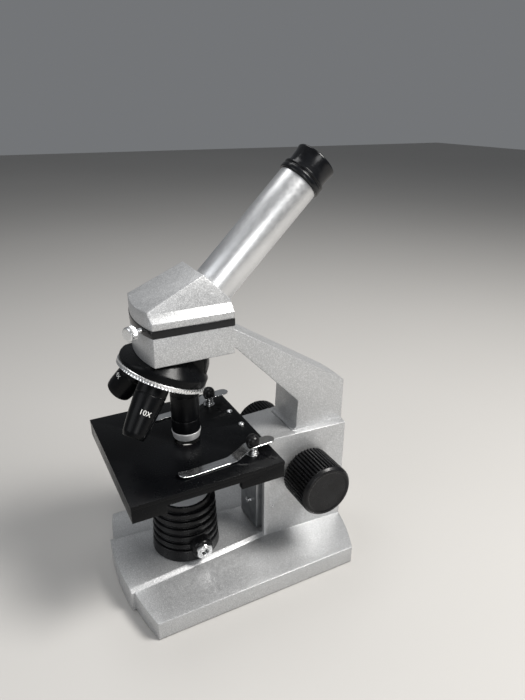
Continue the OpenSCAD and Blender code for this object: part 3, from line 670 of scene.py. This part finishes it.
# ---------------------------------------------------------------- marks on the barrels

def barrel_mark(text, size, radius, z, angle, frame_m, rides_on, taper):
    """Thin raised lettering bent round a barrel, reading across it; the barrel widens
    upwards by taper mm in a mm."""
    cu = bpy.data.curves.new(text + "_curve", "FONT")
    cu.body = text
    cu.size = size
    cu.align_x = "CENTER"
    cu.align_y = "CENTER"
    cu.extrude = 0.02
    cu.resolution_u = 4
    tmp = in_scene(text + "_tmp", cu)
    dg = bpy.context.evaluated_depsgraph_get()
    me = bpy.data.meshes.new_from_object(tmp.evaluated_get(dg))
    bpy.data.objects.remove(tmp)
    bm = bmesh.new()
    bm.from_mesh(me)
    bmesh.ops.subdivide_edges(bm, edges=[e for e in bm.edges if e.calc_length() > size * 0.3],
                              cuts=3)
    for v in bm.verts:
        a = angle + v.co.x / radius
        r = radius + taper * v.co.y + 0.03 + v.co.z
        v.co = frame_m @ Vector((r * math.cos(a), r * math.sin(a), z + v.co.y))
    return piece("mark_" + text.lower(), bm, [rides_on], white_mark(), 60)


barrel_mark("10X", 4.5, 9.25, -63.5, math.radians(103.5), objective(2), "objective_10x", 0.09)
barrel_mark("4X", 4.2, 9.88, -57, math.radians(162), objective(1), "objective_4x", 0.03)


# ---------------------------------------------------------------- focus knobs

def knob_ribs(a, r, z):
    """For lathe: flat-topped ribs along the knob's rim."""
    if r < 18.6 or not 1.0 < z < 27.6:
        return r
    wave = 0.5 + 0.5 * math.cos(KNOB_RIBS * a)
    return r - 1.35 * (1 - min(1, wave * 1.7))


for side, tag in ((1, "right"), (-1, "left")):
    lathe("focus_knob_%s_fine" % tag,
          [(3, 27.4), (3, 0.6), (6.6, 0.6, 0.3), (6.9, 11.6), (16.0, 11.6), (16.1, 0.4),
           (17.9, 0, 0.4), (18.8, 0.9, 0.3), (20, 1.2), (20, 2.0), (20, 9),
           (20, 18), (20, 26.2), (20, 27), (19.95, 27.7), (19.8, 28.4, 0.5),
           (18.1, 30.4, 0.6), (16.4, 30.4, 0.3), (15.7, 29.9, 0.4), (9, 29.9),
           (3, 29.9), (0, 29.9)],
          STAND @ Matrix.Translation((side * KNOB_X, SHAFT_Y, SHAFT_Z))
          @ Matrix.Rotation(math.radians(90 * side), 4, "Y"),
          ["focus_knob_" + tag], 736, knob_ribs, sharp_deg=42)


# ---------------------------------------------------------------- slide clips

def leaf(name, m, node):
    """Spring strip bent down to the stage, round at both ends, with the hole for its post."""
    bends = rounded([(16.4, LEAF_Z), (-3.1, LEAF_Z, 3), (-15.1, 0.7, 3), (-48, 0.7, 4),
                     (-54.2, 2.6)], 8)
    line = []
    for (y0, z0), (y1, z1) in zip(bends, bends[1:]):
        n = max(1, int(math.dist((y0, z0), (y1, z1)) / 0.35))
        line += [(y0 + (y1 - y0) * k / n, z0 + (z1 - z0) * k / n) for k in range(n)]
    line.append(bends[-1])
    bm = bmesh.new()
    loops = []
    for i, (y, z) in enumerate(line):
        a, b = line[max(i - 1, 0)], line[min(i + 1, len(line) - 1)]
        d = Vector((0, b[0] - a[0], b[1] - a[1])).normalized()
        n = Vector((0, -d.z, d.y)) if d.y > 0 else Vector((0, d.z, -d.y))
        # half the strip's width: 4.4 behind the bend and 3.6 in front of it
        hw = 4.4 - 0.8 * min(max((-14 - y) / 5, 0), 1)
        if y > 12:
            hw = math.sqrt(max(4.4 ** 2 - (y - 12) ** 2, 0.3))
        if y < -51:
            hw = math.sqrt(max(3.6 ** 2 - ((-51 - y) * 1.1) ** 2, 0.3))
        c = Vector((0, y, z))
        x = Vector((1, 0, 0))
        e = min(0.14, hw * 0.3)
        loops.append([bm.verts.new(m @ (c + x * u + n * v)) for u, v in
                      ((hw, 0.26), (hw - e, 0.4), (e - hw, 0.4), (-hw, 0.26), (-hw, -0.26),
                       (e - hw, -0.4), (hw - e, -0.4), (hw, -0.26))])
    for a, b in zip(loops, loops[1:]):
        for k in range(8):
            bm.faces.new((a[k], b[k], b[(k + 1) % 8], a[(k + 1) % 8]))
    bm.faces.new(loops[0])
    bm.faces.new(list(reversed(loops[-1])))
    ob = piece(name, bm, [node], None, 40)
    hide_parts(node)
    cut = bmesh.new()
    bmesh.ops.create_cone(cut, cap_ends=True, segments=48, radius1=2.06 * MM, radius2=2.06 * MM,
                          depth=4 * MM, matrix=m @ Matrix.Translation((0, 0, LEAF_Z))
                          @ Matrix.Diagonal((1 / MM, 1 / MM, 1 / MM, 1)))
    me = bpy.data.meshes.new("cut")
    cut.to_mesh(me)
    cut.free()
    tool = in_scene("cut", me)
    hole = ob.modifiers.new("hole", "BOOLEAN")
    hole.object = tool
    hole.operation = "DIFFERENCE"
    baked(ob)
    bpy.data.objects.remove(tool)
    finish_mesh(ob, 40)


for side, lean, tag in ((1, 4, "right"), (-1, 5, "left")):
    m = at(side * CLIP_X, CLIP_Y, STAGE_TOP) @ Matrix.Rotation(math.radians(lean), 4, "Z")
    leaf("clip_leaf_%s_fine" % tag, m, "clip_leaf_" + tag)
    coil("clip_spring_%s_fine" % tag, 3.0, 0.42, 0.55, 6.9, 4.4, m, ["clip_spring_" + tag])
    lathe("clip_washer_%s_fine" % tag, [(2.1, 0.1), (4.3, 0.1, 0.15), (4.3, 0.5, 0.15),
                                        (2.1, 0.5), (2.1, 0.1)], m, ["clip_spring_" + tag], 64)
    lathe("clip_knob_%s_fine" % tag,
          [(0, 13.2), (2.05, 13.2), (2.05, 7.9), (4.4, 7.9, 0.2), (4.7, 8.5, 0.4),
           (4.7, 10.8, 1.2), (4.2, 12.8, 1.2), (2.8, 14.2, 1), (1.2, 14.65, 0.5), (0, 14.7)],
          m, ["clip_knob_" + tag], 72)


# ---------------------------------------------------------------- lamp

def core(z):
    """Radius of the lamp's body between its fins."""
    return 22.4 - 1.2 * (z - 27.5) / 32.3


fins = []
for i in range(5):
    z0, r = 29.4 + 6.5 * i, 24.4 - 0.25 * i
    fins += [(core(z0), z0, 0.4), (r, z0 + 0.1, 1.0), (r, z0 + 3.9, 1.0),
             (core(z0 + 4), z0 + 4, 0.4)]
lathe("lamp_body_fine",
      [(0, 18.4), (24.9, 18.4), (25.3, 18.9, 0.3), (24.7, 26.8, 0.7), (24.0, 27.5, 0.5),
       (22.4, 27.5, 0.3)] + fins
      + [(20.9, 59.8, 0.2), (20.4, 59.8, 0.2), (20, 63.4, 0.6), (18.2, 63.4, 0.2),
         (18.2, 61), (17, 61), (17, 21.4), (0, 21.4)], LAMP, ["lamp_housing"], 128)
lathe("lamp_boss_fine",
      [(0, 2.6), (7.8, 2.6), (7.8, 13.2, 1.2), (6.7, 14.6, 0.5), (4.2, 14.6, 0.2), (4.2, 8),
       (0, 8)],
      INLET, ["lamp_housing"], 96)


# ---------------------------------------------------------------- head clamp

thread = [(0, 17.6), (1.1, 17.6, 0.1), (1.5, 18.1, 0.1)]
for k in range(26):
    thread += [(1.5, 18.2 + k * 0.7), (1.3, 18.5 + k * 0.7)]
lathe("thumbscrew_pin_fine", thread + [(1.5, 36.8), (1.5, 42), (0, 42)], THUMBSCREW,
      ["thumbscrew_pin"], 32)
lathe("thumbscrew_knob_fine",
      [(1.55, 37.2), (2.4, 37.2, 0.2), (2.4, 37.9, 0.1), (4.1, 37.9, 0.1), (4.6, 38.4),
       (4.6, 38.6), (4.6, 42.5), (4.6, 42.7), (4.1, 43.2, 0.1), (3.2, 43.3, 0.1), (0, 43.3)],
      THUMBSCREW, ["thumbscrew_knob"], 216, knurl(36, 0.3, 4.3, 38.5, 42.6), sharp_deg=50)


# ---------------------------------------------------------------- set and camera

bpy.ops.mesh.primitive_grid_add(x_subdivisions=8, y_subdivisions=8, size=1)
floor = bpy.context.object
floor.name = "floor"
floor.scale = (8, 8, 1)
floor.data.materials.append(pale_floor())

scene = bpy.context.scene
world = scene.world or bpy.data.worlds.new("World")
scene.world = world
world.use_nodes = True
bg = world.node_tree.nodes["Background"]
bg.inputs["Color"].default_value = (0.86, 0.89, 0.93, 1)
bg.inputs["Strength"].default_value = 0.2


def area(name, place, target, size, power, colour=(1, 1, 1)):
    """Area light; its place, target and size are in metres."""
    light = bpy.data.lights.new(name, "AREA")
    light.shape = "RECTANGLE"
    light.size, light.size_y = size
    light.energy = power
    light.color = colour
    ob = in_scene(name, light)
    ob.location = place
    ob.rotation_euler = (Vector(target) - Vector(place)).to_track_quat("-Z", "Y").to_euler()


area("key", (0.5, 0.55, 1.05), (0, 0, 0.12), (0.4, 0.4), 21, (1, 0.98, 0.95))
area("fill", (0.1, -1.25, 0.85), (0, 0, 0.12), (0.9, 0.9), 5, (0.95, 0.97, 1))
area("side", (1.25, -0.35, 0.55), (0, 0, 0.12), (0.5, 0.7), 5)
area("top", (-0.35, -0.05, 1.3), (0, 0, 0.15), (0.6, 0.6), 5)
scene.view_settings.view_transform = "Standard"

CAMERA_PLACE = (0.326193, -0.142683, 0.327188)     # metres
CAMERA_TURN = (62.343, 23.633, 0.452)      # degrees: round the object, above it, roll
FOCAL = 562.05 / 700       # focal length over the picture's longer side
SENSOR = 36

cam = bpy.data.cameras.new("camera")
cam.sensor_fit = "AUTO"
cam.sensor_width = SENSOR
cam.lens = FOCAL * SENSOR
cam.clip_start = 0.01
cam_ob = in_scene("camera", cam)
az, el, roll = (math.radians(v) for v in CAMERA_TURN)
back = Vector((math.sin(az) * math.cos(el), -math.cos(az) * math.cos(el), math.sin(el)))
right = (-back).cross(Vector((0, 0, 1))).normalized()
up = right.cross(-back)
right, up = (math.cos(roll) * right + math.sin(roll) * up,
             math.cos(roll) * up - math.sin(roll) * right)
rot = Matrix((right, up, back)).transposed().to_4x4()
cam_ob.matrix_world = Matrix.Translation(CAMERA_PLACE) @ rot
scene.camera = cam_ob
